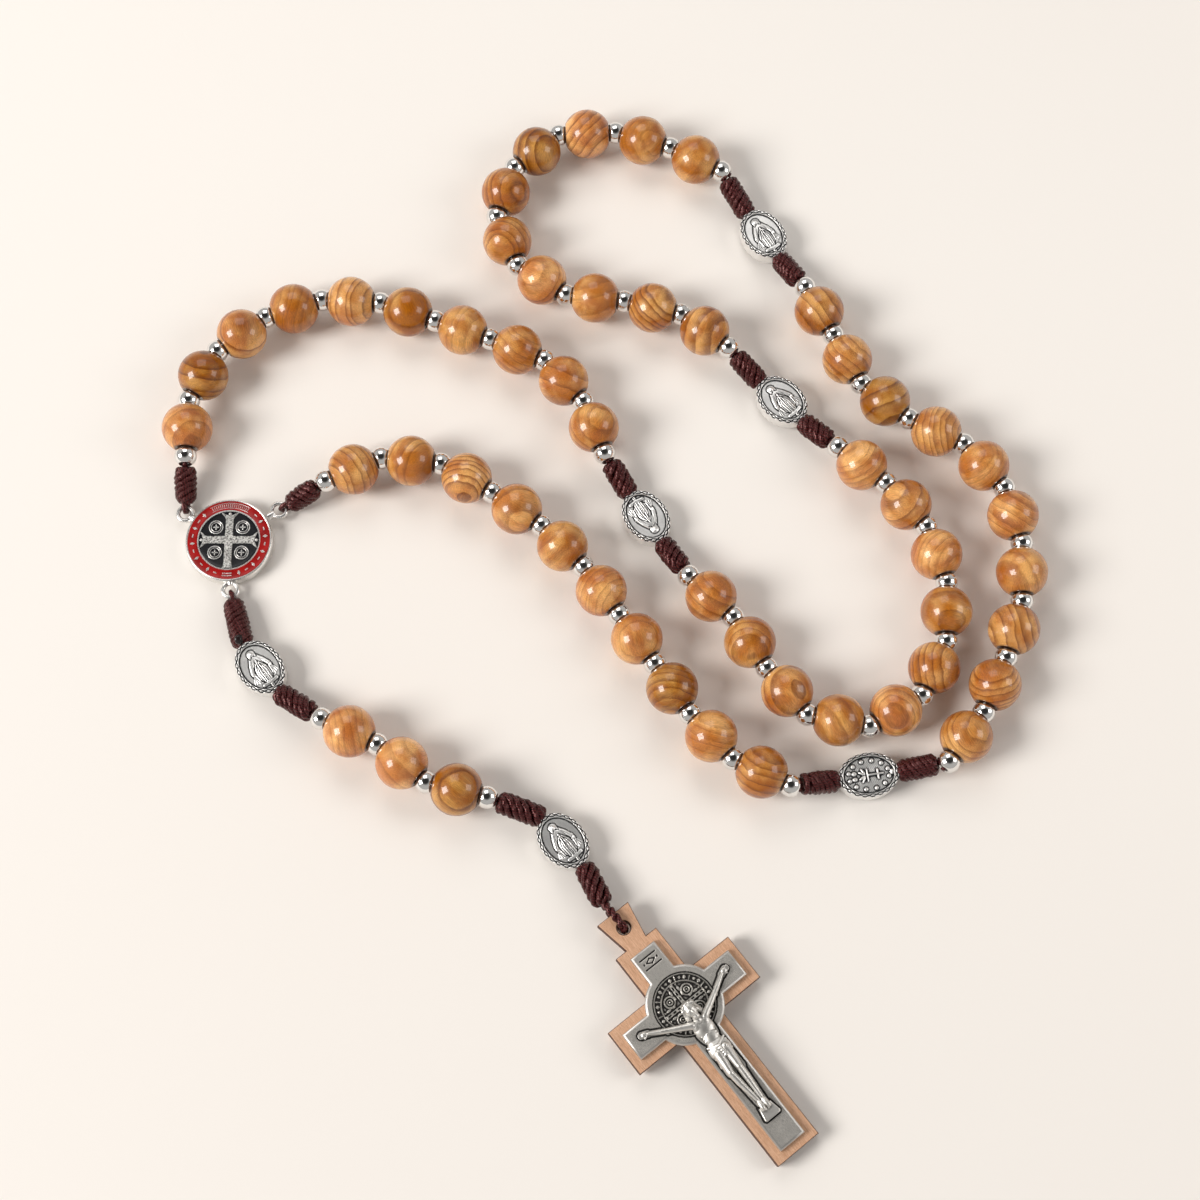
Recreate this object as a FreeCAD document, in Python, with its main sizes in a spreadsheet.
"""A five-decade rosary lying on a table: 53 wooden beads, 59 steel spacer balls, 6 oval medals,
a round enamelled centre medal and a wooden crucifix, strung on one knotted cord.

Origin: middle of the centre medal's flat back. X to the right, Y away from the crucifix, Z up.
The table is the plane Z = 0. Every length is in millimetres.
"""
import FreeCAD, Part
import math
import os

Vector = FreeCAD.Vector
Rotation = FreeCAD.Rotation
Placement = FreeCAD.Placement

doc = FreeCAD.newDocument("rosary")

# ---------------------------------------------------------------- driving dimensions
SIZES = {
    "bead_dia": 10.0,        # wooden bead
    "bead_bore": 1.2,        # hole through it
    "bead_pitch": 11.9,     # spacer centre to spacer centre, across one bead
    "ball_dia": 4.4,         # steel spacer ball
    "ball_throat": 1.3,      # its hole, at the middle
    "ball_flare": 3.2,       # and where the flare would leave the ball
    "socket_gap": 0.05,      # between a ball and the mouth of the bead it nests in
    "cord_dia": 1.0,
    "cord_gap": 0.15,        # from a pivot ball to the cord of the next part of the string
    "knot_dia": 4.4,         # coil knot
    "wrap_dia": 1.1,         # one turn of a coil knot
    "knot_length": 7.3,      # beside a loop medal or a ring
    "knot_gap": 0.1,         # knot to spacer ball
    "medal_length": 11.6,    # oval medal, along the string
    "medal_width": 8.6,
    "medal_thick": 3.2,
    "medal_bore": 1.2,
    "medal_gap": 0.15,       # medal tip to knot
    "medal_rim": 1.0,
    "medal_sink": 0.35,      # face below the rim
    "centre_dia": 17.2,      # round centre medal
    "centre_thick": 2.6,
    "red_outer": 16.2,
    "red_inner": 12.4,
    "field_dia": 11.8,
    "enamel_deep": 0.3,
    "bar_width": 1.6,        # cross on the black field
    "ring_reach": 10.1,      # centre medal's middle to a hanging ring's middle
    "ring_dia": 2.9,         # hanging ring, at the middle of its wire
    "ring_wire": 0.9,
    "loop_dia": 2.0,         # cord loop round the ring's wire
    "wood_thick": 3.0,       # wooden cross
    "wood_beam": 9.4,
    "wood_down": 32.5,       # from the crossing to the foot
    "wood_up": 14.2,         # from the crossing to the shoulder
    "wood_half": 14.1,       # half of its width
    "tab_neck": 4.6,
    "tab_top": 7.2,
    "tab_length": 6.9,
    "tab_hole": 2.6,
    "metal_thick": 1.3,      # metal overlay
    "metal_beam": 5.6,
    "metal_down": 30.7,
    "metal_up": 12.5,
    "metal_half": 12.4,
    "disc_dia": 14.6,        # its round medallion
    "knuckle_dia": 2.2,      # round end of the cord loop, in the last knot
    "knuckle_room": 0.65,    # gap round it
}
HEIGHTS = {"string": 5.0, "medal": 2.3, "ring": 1.5, "tab": 2.6}
KNOT_START = 1.9             # ring wire to the end of its knot
HOLE_UP = 17.8               # crossing to the hole of the cross
LOOP_REACH = 6.0             # round end of the cord loop to that hole
OPEN_LINK = 3                # the string's parts form a tree, so this link stops short of decade 3
OPEN_GAP = 0.98              # and by this much more than a knot's usual gap

table = doc.addObject("Spreadsheet::Sheet", "sizes")
for row, (alias, value) in enumerate(SIZES.items(), start=1):
    table.set("A%d" % row, alias)
    table.set("B%d" % row, str(value))
    table.setAlias("B%d" % row, alias)
doc.recompute()


def bind(thing, **expressions):
    """Ties an object's sizes to the table of driving dimensions."""
    for size, rule in expressions.items():
        thing.setExpression(size, rule)
    return thing


def aim(point, along):
    """A placement at a point whose own Z runs along a direction."""
    return Placement(point, Rotation(Vector(0, 0, 1), along))


def string_frame(point, along):
    """A placement whose own X runs along the string and whose Z stays as upright as it can."""
    side = Vector(0, 0, 1).cross(along)
    return Placement(point, Rotation(along, side, along.cross(side), "XYZ"))


def heading(degrees, rise=0.0):
    """A direction in the plan, tilted up by a rise in degrees."""
    turn, lift = math.radians(degrees), math.radians(rise)
    return Vector(math.cos(turn) * math.cos(lift), math.sin(turn) * math.cos(lift), math.sin(lift))


def unit(start, end):
    gap = end - start
    return gap.multiply(1.0 / gap.Length)


# ---------------------------------------------------------------- small makers
count = {"n": 0}


def add(kind, label, where=None):
    count["n"] += 1
    thing = doc.addObject(kind, "item%d" % count["n"])
    thing.Label = label
    if where is not None:
        thing.Placement = where
    return thing


def ball(label, radius, where=Vector()):
    return bind(add("Part::Sphere", label, Placement(where, Rotation())), Radius=radius)


def rod(label, radius, height, where=Placement()):
    return bind(add("Part::Cylinder", label, where), Radius=radius, Height=height)


def ring(label, across, wire, where=Placement()):
    return bind(add("Part::Torus", label, where), Radius1=across, Radius2=wire)


def block(label, length, width, height, where=Placement()):
    thing = bind(add("Part::Box", label), Length=length, Width=width, Height=height)
    thing.Placement = where
    return thing


def fuse(label, things):
    if len(things) == 1:
        return things[0]
    whole = add("Part::MultiFuse", label)
    whole.Shapes = things
    return whole


def cut(label, base, tool):
    rest = add("Part::Cut", label)
    rest.Base = base
    rest.Tool = tool
    return rest


def copies(label, master, frames):
    """One node: equal separate solids, each a link to the same master."""
    links = []
    for number, frame in enumerate(frames, start=1):
        link = add("App::Link", "%s_%d" % (label, number))
        link.LinkedObject = master
        link.LinkPlacement = frame
        links.append(link)
    group = add("Part::Compound", label)
    group.Links = links
    return group


def tube(label, points):
    """A round cord along straight runs with rounded corners."""
    path = add("Part::Polygon", label + "_path")
    path.Nodes = points
    section = bind(add("Part::Circle", label + "_section"), Radius="sizes.cord_dia / 2")
    section.Placement = aim(points[0], unit(points[0], points[1]))
    cord = add("Part::Sweep", label)
    cord.Sections = [section]
    cord.Spine = (path, ["Edge%d" % (i + 1) for i in range(len(points) - 1)])
    cord.Solid = True
    cord.Transition = "Round corner"
    return cord


# ---------------------------------------------------------------- masters
def make_bead():
    """A turned bead, drilled along its Z, with a round mouth at each end for a spacer ball."""
    wood = ball("bead_blank", "sizes.bead_dia / 2")
    drill = rod("bead_drill", "sizes.bead_bore / 2", "sizes.bead_dia + 2",
                Placement(Vector(0, 0, -SIZES["bead_dia"] / 2 - 1), Rotation()))
    mouths = [
        ball("bead_mouth", "sizes.ball_dia / 2 + sizes.socket_gap",
             Vector(0, 0, end * SIZES["bead_pitch"] / 2))
        for end in (-1, 1)
    ]
    return cut("bead_master", wood, fuse("bead_waste", [drill] + mouths))


def make_spacer():
    """A steel ball with a hole that opens out towards both ends."""
    steel = ball("spacer_blank", "sizes.ball_dia / 2")
    flares = []
    for turn in (0, 180):
        flare = add("Part::Cone", "spacer_flare", Placement(Vector(), Rotation(Vector(1, 0, 0), turn)))
        bind(flare, Radius1="sizes.ball_throat / 2", Radius2="sizes.ball_flare / 2",
             Height="sizes.ball_dia / 2")
        flares.append(flare)
    return cut("spacer_master", steel, fuse("spacer_waste", flares))


def make_knot(label, start, along, length):
    """A coil knot: equal turns of cord side by side round a core."""
    parts = [rod(label + "_core", "sizes.knot_dia / 2 - sizes.wrap_dia * 0.4", "%f" % length,
                 aim(start, along))]
    wrap = SIZES["wrap_dia"]
    turns = int(round(length / wrap)) + 1
    for turn in range(turns):
        along_by = wrap / 2 + turn * (length - wrap) / (turns - 1)
        parts.append(ring(label + "_turn", "(sizes.knot_dia - sizes.wrap_dia) / 2", "sizes.wrap_dia / 2",
                          aim(start + along * along_by, along)))
    return parts


def medal_seat():
    """Half of the straight run that a medal takes up on its core."""
    return SIZES["medal_length"] / 2 + SIZES["medal_gap"]


def make_medal(label):
    """An oval two-sided medal, drilled along its length, with a raised rim and a figure in relief."""
    half = SIZES["medal_thick"] / 2

    def oval(name, shrink, low, height):
        outline = bind(add("Part::Ellipse", name + "_outline"),
                       MajorRadius="sizes.medal_length / 2 - %s" % shrink,
                       MinorRadius="sizes.medal_width / 2 - %s" % shrink)
        outline.Placement = Placement(Vector(0, 0, low), Rotation())
        solid = add("Part::Extrusion", name)
        solid.Base = outline
        solid.DirMode = "Custom"
        solid.Dir = Vector(0, 0, 1)
        solid.Solid = True
        return bind(solid, LengthFwd=height)

    body = oval(label + "_blank", "0", -half, "sizes.medal_thick")
    sunk = SIZES["medal_sink"]
    faces = [
        oval(label + "_face", "sizes.medal_rim", half - sunk, "1"),
        oval(label + "_face", "sizes.medal_rim", -half + sunk - 1, "1"),
    ]
    drill = rod(label + "_drill", "sizes.medal_bore / 2", "sizes.medal_length + 2",
                aim(Vector(-SIZES["medal_length"] / 2 - 1, 0, 0), Vector(1, 0, 0)))
    plate = cut(label + "_plate", body, fuse(label + "_waste", faces))

    relief = []
    robe = add("Part::Ellipsoid", label + "_robe", Placement(Vector(0.4, 0, half - sunk), Rotation()))
    bind(robe, Radius1="0.4", Radius2="3.0", Radius3="1.3")
    relief.append(robe)
    relief.append(ball(label + "_head", "0.55", Vector(-3.1, 0, half - sunk)))
    for number in range(12):
        around = math.radians(30 * number + 15)
        relief.append(ball(label + "_boss", "0.4",
                           Vector(3.9 * math.cos(around), 2.4 * math.sin(around), -half + sunk)))
    bars = ((3.4, 0.5), (0.5, 2.0))
    for long_side, short_side in bars:
        relief.append(block(label + "_bar", "%f" % long_side, "%f" % short_side, "0.6",
                            Placement(Vector(-long_side / 2, -short_side / 2, -half + 0.1), Rotation())))
    return cut(label, fuse(label + "_raised", [plate] + relief), drill)


def make_link(label, centre, along, first, first_length, last, last_length, extra=()):
    """Two coil knots with the core between them that a medal turns on, as one piece of cord."""
    seat = medal_seat()
    ends = (centre - along * seat, centre + along * seat)
    bite = 1.0
    core = rod(label + "_core", "sizes.cord_dia / 2", "sizes.medal_length + 2 * sizes.medal_gap + %f" % (2 * bite),
               aim(ends[0] - along * bite, along))
    knots = []
    for joint, way, length in ((ends[0], first, first_length), (ends[1], last, last_length)):
        knots += make_knot(label + "_knot", joint - way * bite, way, length + bite)
    room = rod(label + "_room", "sizes.medal_width", "sizes.medal_length + 2 * sizes.medal_gap",
               aim(ends[0], along))
    trimmed = cut(label + "_knots", fuse(label + "_coils", knots), room)
    return fuse(label, [trimmed, core] + list(extra))


def ring_loop(label, wire, along):
    """The cord's turn round the wire of a hanging ring, with two legs into the knot."""
    side = Vector(0, 0, 1).cross(along)
    up = along.cross(side)
    turn = add("Part::Torus", label + "_turn")
    turn.Placement = Placement(wire, Rotation(up, along * -1, side, "ZXY"))
    bind(turn, Radius1="sizes.loop_dia / 2", Radius2="sizes.cord_dia / 2", Angle3="180")
    legs = [
        rod(label + "_leg", "sizes.cord_dia / 2", "%f" % (KNOT_START + 1),
            aim(wire + up * (way * SIZES["loop_dia"] / 2), along))
        for way in (-1, 1)
    ]
    return [turn] + legs


# ---------------------------------------------------------------- the lie of the string
# Points the loop of the string passes through, a few in each decade, from the left ring to the right.
LOOP = [
    (-9, 16), (-8, 33), (1, 44), (10, 49), (22, 51), (45, 44), (66, 34), (74, 17),
    (90, -8), (102, -21), (108, -32), (117, -38), (128, -37), (136, -30), (140, -19), (135, 5), (122, 17),
    (101, 38), (86, 49), (63, 53), (54, 62), (52, 74), (58, 84), (69, 90), (80, 88), (97, 81),
    (114, 55), (121, 41), (127, 30), (138, 23), (148, 17), (154, 6), (154, -16), (149, -29), (140, -44),
    (110, -50), (94, -41), (87, -31), (80, -21), (66, -2), (47, 12), (35, 17), (24, 14),
]
RING_TURNS = {"left": 154.5, "right": 37.0, "bottom": -86.0}
RING_WAYS = {"left": 88.0, "right": 21.0, "bottom": -74.0}
# Plan headings of the pendant, piece by piece from the bottom ring, in degrees.
TOP_KNOT, TOP_MEDAL, LOW_KNOT = -74.0, -52.0, -34.0
BEAD_WAYS = (-24.5, -38.0, -14.0)
END_KNOT, END_MEDAL, LAST_KNOT, CROSS_WAY = -18.0, -50.0, -62.0, -51.7
PENDANT_KNOTS = {"top": 8.6, "low": 8.6, "end": 9.0, "last": 8.0}


def ring_centre(side):
    return heading(RING_TURNS[side]) * SIZES["ring_reach"] + Vector(0, 0, HEIGHTS["ring"])


def ring_wire(side):
    return ring_centre(side) + heading(RING_WAYS[side]) * (SIZES["ring_dia"] / 2)


def flat(vector, height=0.0):
    return Vector(vector.x, vector.y, height)


BALL_RADIUS = SIZES["ball_dia"] / 2
KNOT_REACH = SIZES["knot_length"] + SIZES["knot_gap"] + BALL_RADIUS      # spacer centre to knot's far end
RING_SPAN = math.sqrt((KNOT_START + KNOT_REACH) ** 2 - (HEIGHTS["string"] - HEIGHTS["ring"]) ** 2)
KNOT_RISE = math.degrees(math.asin((HEIGHTS["string"] - HEIGHTS["medal"]) / KNOT_REACH))
KNOT_SPAN = KNOT_REACH * math.cos(math.radians(KNOT_RISE))
LINK_SPAN = 2 * (medal_seat() + KNOT_SPAN)                                # spacer to spacer, in the plan


def walk():
    """Spacer centres of the five decades: equal chords along the curve of the loop."""
    start, end = flat(ring_wire("left")), flat(ring_wire("right"))
    curve = Part.BSplineCurve()
    curve.interpolate([start] + [Vector(x, y, 0) for x, y in LOOP] + [end])
    here, at, rows = start, curve.FirstParameter, []
    chords = [RING_SPAN]
    for decade in range(1, 6):
        chords += [SIZES["bead_pitch"]] * 10
        chords.append(LINK_SPAN + (OPEN_GAP if decade == OPEN_LINK else 0))
    for chord in chords[:-1]:
        low, high = at, at
        step = (curve.LastParameter - curve.FirstParameter) / 400
        while (curve.value(high) - here).Length < chord and high < curve.LastParameter:
            low, high = high, min(high + step, curve.LastParameter)
        for _ in range(50):
            middle = (low + high) / 2
            if (curve.value(middle) - here).Length < chord:
                low = middle
            else:
                high = middle
        at = (low + high) / 2
        here = curve.value(at)
        rows.append(flat(here, HEIGHTS["string"]))
    decades = [rows[11 * n:11 * n + 11] for n in range(5)]
    left_over = (flat(decades[4][10]) - end).Length - RING_SPAN
    print("loop closes within %.3f mm" % left_over)
    return decades


decades = walk()
nodes = {}
bead_master = make_bead()
spacer_master = make_spacer()
medal_master = make_medal("medal_master")


def string_part(name, spacers, beads, cord_points):
    """The beads, the spacers and the cord of one stiff stretch of the string."""
    bead_frames = [aim((one + other) * 0.5, unit(one, other)) for one, other in beads]
    nodes[name + "_beads"] = copies(name + "_beads", bead_master, bead_frames)
    nodes[name + "_spacers"] = copies(name + "_spacers", spacer_master, [aim(*s) for s in spacers])
    nodes[name + "_cord"] = tube(name + "_cord", cord_points)


def decade_halves(number, points):
    """A decade of ten beads, hinged on its middle spacer."""
    ways = [unit(points[i], points[i + 1]) for i in range(10)]
    end_in = ways[0] * (BALL_RADIUS - 0.05)
    tilts = [ways[0]] + [(ways[i - 1] + ways[i]).normalize() for i in range(1, 10)] + [ways[9]]
    tilts[5] = ways[4]
    first = [points[0] - end_in] + points[1:5] + [points[5] + ways[4] * (BALL_RADIUS - 0.05)]
    start = points[5] + ways[5] * (BALL_RADIUS + SIZES["cord_gap"])
    second = [start] + points[6:10] + [points[10] + ways[9] * (BALL_RADIUS - 0.05)]
    spans = [(points[i], points[i + 1]) for i in range(10)]
    places = list(zip(points, tilts))
    string_part("decade_%da" % number, places[:6], spans[:5], first)
    string_part("decade_%db" % number, places[6:], spans[5:], second)


for number, points in enumerate(decades, start=1):
    decade_halves(number, points)

# Links between the decades: two equal knots rising from the medal to the spacers.
link_master = make_link("link_master", Vector(), Vector(1, 0, 0),
                        heading(180, KNOT_RISE), SIZES["knot_length"],
                        heading(0, KNOT_RISE), SIZES["knot_length"])
TURNED = {4}                 # the loop medal that lies with its reverse up
for number in range(1, 5):
    one, other = flat(decades[number - 1][10]), flat(decades[number][0])
    middle = other - unit(one, other) * (LINK_SPAN / 2) + Vector(0, 0, HEIGHTS["medal"])
    seat = string_frame(middle, unit(one, other))
    nodes["link_%d" % number] = copies("link_%d" % number, link_master, [seat])
    roll = Rotation(Vector(1, 0, 0), 180 if number in TURNED else 0)
    medal_frame = seat.multiply(Placement(Vector(), roll))
    nodes["medal_%d" % number] = copies("medal_%d" % number, medal_master, [medal_frame])

# Knots on the two upper rings.
for side, spacer in (("left", decades[0][0]), ("right", decades[4][10])):
    wire = ring_wire(side)
    way = unit(wire, spacer)
    label = side + "_ring_knot"
    knot = make_knot(label, wire + way * KNOT_START, way, (spacer - wire).Length - KNOT_START
                     - SIZES["knot_gap"] - BALL_RADIUS)
    nodes[label] = fuse(label, knot + ring_loop(label, wire, way))

# ---------------------------------------------------------------- pendant
wire = ring_wire("bottom")
climb = HEIGHTS["medal"] - HEIGHTS["ring"]
top_way = heading(TOP_KNOT, math.degrees(math.asin(climb / (KNOT_START + PENDANT_KNOTS["top"]))))
seat_5 = wire + top_way * (KNOT_START + PENDANT_KNOTS["top"])
medal_5 = seat_5 + heading(TOP_MEDAL) * medal_seat()
low_reach = PENDANT_KNOTS["low"] + SIZES["knot_gap"] + BALL_RADIUS
low_rise = math.degrees(math.asin((HEIGHTS["string"] - HEIGHTS["medal"]) / low_reach))
low_way = heading(LOW_KNOT, low_rise)
nodes["pendant_top_link"] = make_link(
    "pendant_top_link", medal_5, heading(TOP_MEDAL), top_way * -1, PENDANT_KNOTS["top"],
    low_way, PENDANT_KNOTS["low"], ring_loop("pendant_loop", wire, top_way))
nodes["medal_5"] = copies("medal_5", medal_master, [string_frame(medal_5, heading(TOP_MEDAL))])

stops = [medal_5 + heading(TOP_MEDAL) * medal_seat() + low_way * low_reach]
for way in BEAD_WAYS:
    stops.append(stops[-1] + heading(way) * SIZES["bead_pitch"])
ways = [heading(way) for way in BEAD_WAYS]
tilts = [ways[0], (ways[0] + ways[1]).normalize(), (ways[1] + ways[2]).normalize(), ways[2]]
for number in range(3):
    label = "pendant_bead_%d" % (number + 1)
    nodes[label] = copies(label, bead_master,
                          [aim((stops[number] + stops[number + 1]) * 0.5, ways[number])])
nodes["pendant_spacers"] = copies("pendant_spacers", spacer_master, [aim(*s) for s in zip(stops, tilts)])
flush = BALL_RADIUS - 0.05
nodes["pendant_cord"] = tube("pendant_cord", [stops[0] - ways[0] * flush] + stops[1:3]
                             + [stops[3] + ways[2] * flush])

end_reach = PENDANT_KNOTS["end"] + SIZES["knot_gap"] + BALL_RADIUS
end_rise = math.degrees(math.asin((HEIGHTS["string"] - HEIGHTS["medal"]) / end_reach))
end_way = heading(END_KNOT, -end_rise)
seat_6 = stops[3] + end_way * end_reach
medal_6 = seat_6 + heading(END_MEDAL) * medal_seat()
last_start = medal_6 + heading(END_MEDAL) * medal_seat()

# The cross lies with its foot on the table and its tab lifted by the cord under it.
drop = math.degrees(math.asin((HEIGHTS["tab"] - SIZES["wood_thick"] / 2) / (HOLE_UP + SIZES["wood_down"])))
cross_way = heading(CROSS_WAY, -drop)
pivot_height = HEIGHTS["tab"] + LOOP_REACH * math.sin(math.radians(drop))
last_rise = math.degrees(math.asin((pivot_height - HEIGHTS["medal"]) / PENDANT_KNOTS["last"]))
last_way = heading(LAST_KNOT, last_rise)
pivot = last_start + last_way * PENDANT_KNOTS["last"]
hole = pivot + cross_way * LOOP_REACH
whole_link = make_link("pendant_low_blank", medal_6, heading(END_MEDAL), end_way * -1,
                       PENDANT_KNOTS["end"], last_way, PENDANT_KNOTS["last"])
nodes["pendant_low_link"] = cut("pendant_low_link", whole_link,
                                ball("knuckle_socket", "sizes.knuckle_dia / 2 + sizes.knuckle_room", pivot))
nodes["medal_6"] = copies("medal_6", medal_master, [string_frame(medal_6, heading(END_MEDAL))])

# The cord loop through the tab of the cross.
loop_frame = string_frame(pivot, cross_way)
leg_height = (SIZES["wood_thick"] + SIZES["cord_dia"]) / 2 + 0.05
leg_bend = 2.3
upper = [Vector(0, 0, 0), Vector(leg_bend, 0, leg_height), Vector(LOOP_REACH, 0, leg_height),
         Vector(LOOP_REACH, 0, 0)]
lower = [Vector(v.x, v.y, -v.z) for v in upper]
legs = [tube("crucifix_leg", [loop_frame.multVec(v) for v in run]) for run in (upper, lower)]
knuckle = ball("crucifix_knuckle", "sizes.knuckle_dia / 2", pivot)
nodes["crucifix_loop"] = fuse("crucifix_loop", [knuckle] + legs)

# ---------------------------------------------------------------- centre medal
face = SIZES["centre_thick"]
deep = SIZES["enamel_deep"]


def disc(label, across, low, height):
    return rod(label, across, height, Placement(Vector(0, 0, low), Rotation()))


def field_ornament(label, height):
    """The cross with forked ends and the four small circles on the black field."""
    low = face - deep
    reach = SIZES["field_dia"] / 2
    bars = [
        block(label + "_bar", "sizes.field_dia", "sizes.bar_width", height,
              Placement(Vector(-reach, -SIZES["bar_width"] / 2, low), Rotation())),
        block(label + "_bar", "sizes.bar_width", "sizes.field_dia", height,
              Placement(Vector(-SIZES["bar_width"] / 2, -reach, low), Rotation())),
    ]
    circles = []
    for quarter in range(4):
        spot = heading(45 + 90 * quarter) * 3.75 + Vector(0, 0, low)
        outer = rod(label + "_circle", "1.45", height, Placement(spot, Rotation()))
        inner = rod(label + "_middle", "1.15", height, Placement(spot, Rotation()))
        circles.append(cut(label + "_ring", outer, inner))
        circles.append(rod(label + "_dot", "0.5", height, Placement(spot, Rotation())))
    return bars + circles


blank = disc("centre_blank", "sizes.centre_dia / 2", 0, "sizes.centre_thick")
red_room = cut("red_room", disc("red_outer", "sizes.red_outer / 2", face - deep, "sizes.enamel_deep + 1"),
               disc("red_inner", "sizes.red_inner / 2", face - deep, "sizes.enamel_deep + 1"))
field_room = disc("field_room", "sizes.field_dia / 2", face - deep, "sizes.enamel_deep + 1")
plate = cut("centre_plate", blank, fuse("centre_waste", [red_room, field_room]))
rings = [
    ring("hanging_ring", "sizes.ring_dia / 2", "sizes.ring_wire / 2", Placement(ring_centre(side), Rotation()))
    for side in ("left", "right", "bottom")
]
nodes["centre_medal"] = fuse("centre_medal",
                             [plate] + field_ornament("raised", "sizes.enamel_deep") + rings)
low = face - deep
nodes["enamel_red"] = cut("enamel_red",
                          disc("red_disc", "sizes.red_outer / 2", low, "sizes.enamel_deep * 0.8"),
                          disc("red_hole", "sizes.red_inner / 2", low, "sizes.enamel_deep * 0.8"))
nodes["enamel_black"] = cut("enamel_black",
                            disc("black_disc", "sizes.field_dia / 2", low, "sizes.enamel_deep * 0.8"),
                            fuse("black_waste", field_ornament("waste", "sizes.enamel_deep")))

# ---------------------------------------------------------------- crucifix
# Its own frame: X towards the foot, Z up, the middle of the crossing on X = HOLE_UP behind the hole.
cross_frame = string_frame(hole + cross_way * HOLE_UP, cross_way)
back = -SIZES["wood_thick"] / 2
front = SIZES["wood_thick"] / 2


def on_cross(x, y, z, rotation=Rotation()):
    return cross_frame.multiply(Placement(Vector(x, y, z), rotation))


def make_tab():
    """The flared hanging tab above the shoulder."""
    tab = add("Part::Wedge", "wood_tab")
    bind(tab, Xmin="0", Ymin="0", Zmin="0", Z2min="0", X2min="(sizes.tab_top - sizes.tab_neck) / 2",
         Xmax="sizes.tab_top", Ymax="sizes.tab_length", Zmax="sizes.wood_thick", Z2max="sizes.wood_thick",
         X2max="(sizes.tab_top + sizes.tab_neck) / 2")
    turn = Rotation(Vector(0, 0, 1), -90)
    tab.Placement = on_cross(-SIZES["wood_up"] - SIZES["tab_length"], SIZES["tab_top"] / 2, back, turn)
    return tab


wood = [
    block("wood_upright", "sizes.wood_up + sizes.wood_down", "sizes.wood_beam", "sizes.wood_thick",
          on_cross(-SIZES["wood_up"], -SIZES["wood_beam"] / 2, back)),
    block("wood_arms", "sizes.wood_beam", "sizes.wood_half * 2", "sizes.wood_thick",
          on_cross(-SIZES["wood_beam"] / 2, -SIZES["wood_half"], back)),
    make_tab(),
]
tab_hole = rod("tab_drill", "sizes.tab_hole / 2", "sizes.wood_thick + 2", on_cross(-HOLE_UP, 0, back - 1))
nodes["wood_cross"] = cut("wood_cross", fuse("wood_blank", wood), tab_hole)

metal = [
    block("metal_upright", "sizes.metal_up + sizes.metal_down", "sizes.metal_beam", "sizes.metal_thick",
          on_cross(-SIZES["metal_up"], -SIZES["metal_beam"] / 2, front)),
    block("metal_arms", "sizes.metal_beam", "sizes.metal_half * 2", "sizes.metal_thick",
          on_cross(-SIZES["metal_beam"] / 2, -SIZES["metal_half"], front)),
    rod("metal_disc", "sizes.disc_dia / 2", "sizes.metal_thick", on_cross(0, 0, front)),
]
groove = cut("disc_groove", rod("groove_outer", "5.8", "1", on_cross(0, 0, front + 1.0)),
             rod("groove_inner", "4.3", "1", on_cross(0, 0, front + 1.0)))
nodes["metal_cross"] = cut("metal_cross", fuse("metal_blank", metal), groove)

skin = front + SIZES["metal_thick"]


def limb(label, radius, start, end):
    """A limb of the corpus between two points of the crucifix's frame, with a joint at its end."""
    one, other = cross_frame.multVec(Vector(*start)), cross_frame.multVec(Vector(*end))
    shaft = rod(label, "%f" % radius, "%f" % (other - one).Length, aim(one, unit(one, other)))
    return [shaft, ball(label + "_end", "%f" % (radius * 1.15), other)]


def lump(label, centre, sizes):
    """A rounded mass of the corpus, with half sizes along the crucifix's X, Y and Z."""
    mass = add("Part::Ellipsoid", label, on_cross(*centre))
    return bind(mass, Radius2="%f" % sizes[0], Radius3="%f" % sizes[1], Radius1="%f" % sizes[2])


corpus = [
    lump("corpus_head", (1.11, 0, skin + 1.19), (1.7, 1.3, 1.2)),
    lump("corpus_chest", (5.44, 0, skin + 0.5), (3.41, 1.91, 1.1)),
    lump("corpus_cloth", (10.04, 0, skin + 0.5), (2.6, 1.86, 1.2)),
    block("corpus_platform", "2.2", "3.6", "1.1", on_cross(22.7, -1.8, skin)),
]
for way in (-1, 1):
    corpus += limb("corpus_upper_arm", 0.69, (3.6, way * 1.14, skin + 0.86), (1.7, way * 5.4, skin + 0.7))
    corpus += limb("corpus_forearm", 0.52, (1.7, way * 5.4, skin + 0.7), (-0.4, way * 9.4, skin + 0.5))
    corpus += limb("corpus_thigh", 0.9, (10.46, way * 0.91, skin + 0.6), (14.7, way * 0.83, skin + 0.9))
    corpus += limb("corpus_shin", 0.66, (14.7, way * 0.83, skin + 0.9), (22.18, way * 0.5, skin + 0.6))
backing = block("corpus_backing", "60", "40", "10", on_cross(-20, -20, skin - 10))
nodes["corpus"] = cut("corpus", fuse("corpus_whole", corpus), backing)

# ---------------------------------------------------------------- check and write
doc.recompute()
for thing in doc.Objects:
    bad = [state for state in thing.State if state in ("Invalid", "Error")]
    if bad:
        raise RuntimeError("%s is %s" % (thing.Label, bad))
for name, node in nodes.items():
    if node.Shape.isNull() or not node.Shape.isValid() or not node.Shape.Solids:
        raise RuntimeError("%s has no good shape" % name)
    node.Label = name

os.makedirs("parts", exist_ok=True)
for name, node in nodes.items():
    node.Shape.exportStep("parts/%s.step" % name)
print("%d nodes written" % len(nodes))
